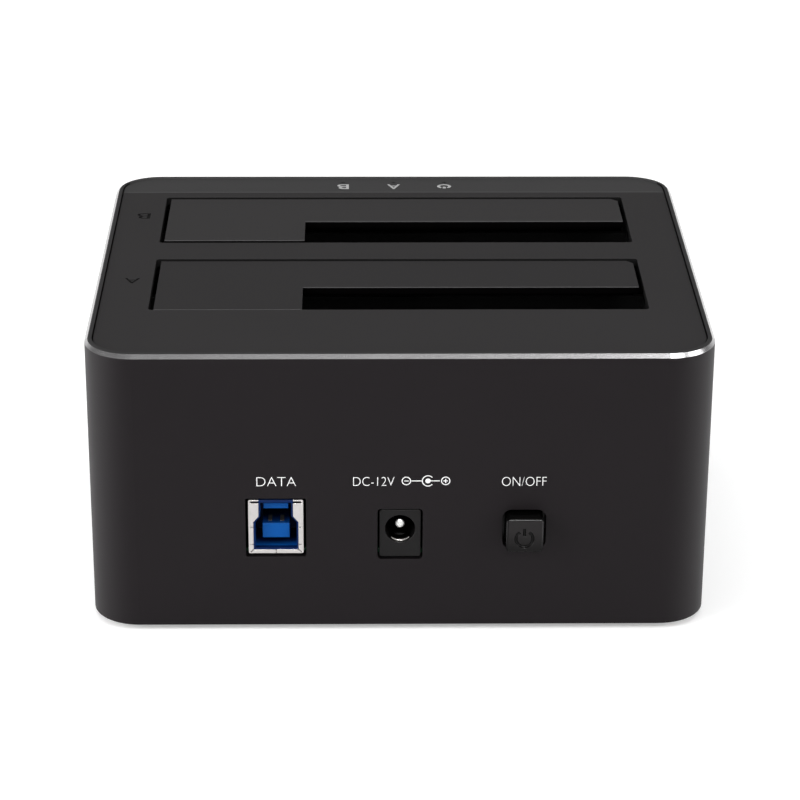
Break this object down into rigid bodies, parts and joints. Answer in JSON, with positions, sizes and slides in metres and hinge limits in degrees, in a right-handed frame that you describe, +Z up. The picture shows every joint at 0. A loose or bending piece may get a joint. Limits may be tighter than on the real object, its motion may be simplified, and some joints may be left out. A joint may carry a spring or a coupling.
{
  "type": "hard drive docking station",
  "caption": "Desktop hard drive dock: rounded metal sleeve, top panel with sprung L-shaped doors over drive wells, status lights, and a data socket, power jack and push button on the back.",
  "frame": {"origin": "on the table under the middle of the whole object, button included", "axes": "+Z up, the front with its status lights faces -Y, the back with its sockets faces +Y"},
  "size_m": [0.1272, 0.1122, 0.0616],
  "materials": {
    "black_sleeve": "fine matt black anodised, bright cut edge round the top",
    "panel_plastic": "fine textured dark grey moulding",
    "door_plastic": "fine textured dark grey moulding",
    "base_plastic": "textured black moulding",
    "well_plastic": "black moulding",
    "foot_rubber": "matt",
    "black_screw": "black zinc",
    "pin_steel": "drawn bright",
    "spring_steel": "drawn wire and strip",
    "circuit_board": "green lacquer",
    "connector_plastic": "satin black moulding",
    "contact_metal": "gold flash",
    "socket_steel": "plated sheet",
    "blue_plastic": "satin blue moulding",
    "jack_plastic": "satin black moulding",
    "bright_pin": "plated",
    "white_plastic": "satin white moulding",
    "button_plastic": "satin black moulding",
    "clear_plastic": "smoked clear",
    "led_resin": "milky resin",
    "chip_resin": "moulded black resin",
    "coil_ferrite": "sintered dark grey",
    "capacitor_can": "drawn can"
  },
  "bodies": {
    "dock": {"sleeve": "black_sleeve", "top_panel": "panel_plastic", "base_plate": "base_plastic", "rubber_feet": "foot_rubber", "base_screws": "black_screw", "drive_well_a": "well_plastic", "drive_well_b": "well_plastic", "well_screws": "black_screw", "door_pin_a": "pin_steel", "door_pin_b": "pin_steel", "door_spring_a": "spring_steel", "door_spring_b": "spring_steel", "main_board": "circuit_board", "board_screws": "pin_steel", "drive_connector_a": "connector_plastic", "drive_connector_b": "connector_plastic", "drive_contacts_a": "contact_metal", "drive_contacts_b": "contact_metal", "data_socket_shell": "socket_steel", "data_socket_insulator": "blue_plastic", "data_socket_contacts": "contact_metal", "power_jack_body": "jack_plastic", "power_jack_pin": "bright_pin", "power_jack_spring": "spring_steel", "power_switch": "connector_plastic", "button_spring": "spring_steel", "light_guide": "clear_plastic", "status_leds": "led_resin", "controller_chip": "chip_resin", "regulator_chips": "chip_resin", "power_coils": "coil_ferrite", "capacitors": "capacitor_can", "crystal": "socket_steel"},
    "door_a": {"door_a": "door_plastic"},
    "door_b": {"door_b": "door_plastic"},
    "power_button": {"power_button": "button_plastic", "switch_plunger": "white_plastic"}
  },
  "joints": [
    {"name": "door_a_hinge", "type": "hinge", "parent": "dock", "child": "door_a", "pos_m": [0, -0.0018, 0.0577], "axis": [-1, 0, 0], "range_deg": [0, 88], "stiffness_Nm_per_rad": 0.002, "springref_deg": -57.3, "deforming": ["door_spring_a"]},
    {"name": "door_b_hinge", "type": "hinge", "parent": "dock", "child": "door_b", "pos_m": [0, -0.041, 0.0577], "axis": [-1, 0, 0], "range_deg": [0, 88], "stiffness_Nm_per_rad": 0.002, "springref_deg": -57.3, "deforming": ["door_spring_b"]},
    {"name": "button_press", "type": "slide", "parent": "dock", "child": "power_button", "axis": [0, -1, 0], "range_m": [0, 0.002], "stiffness_N_per_m": 800, "springref_m": -0.001, "deforming": ["button_spring"]}
  ]
}
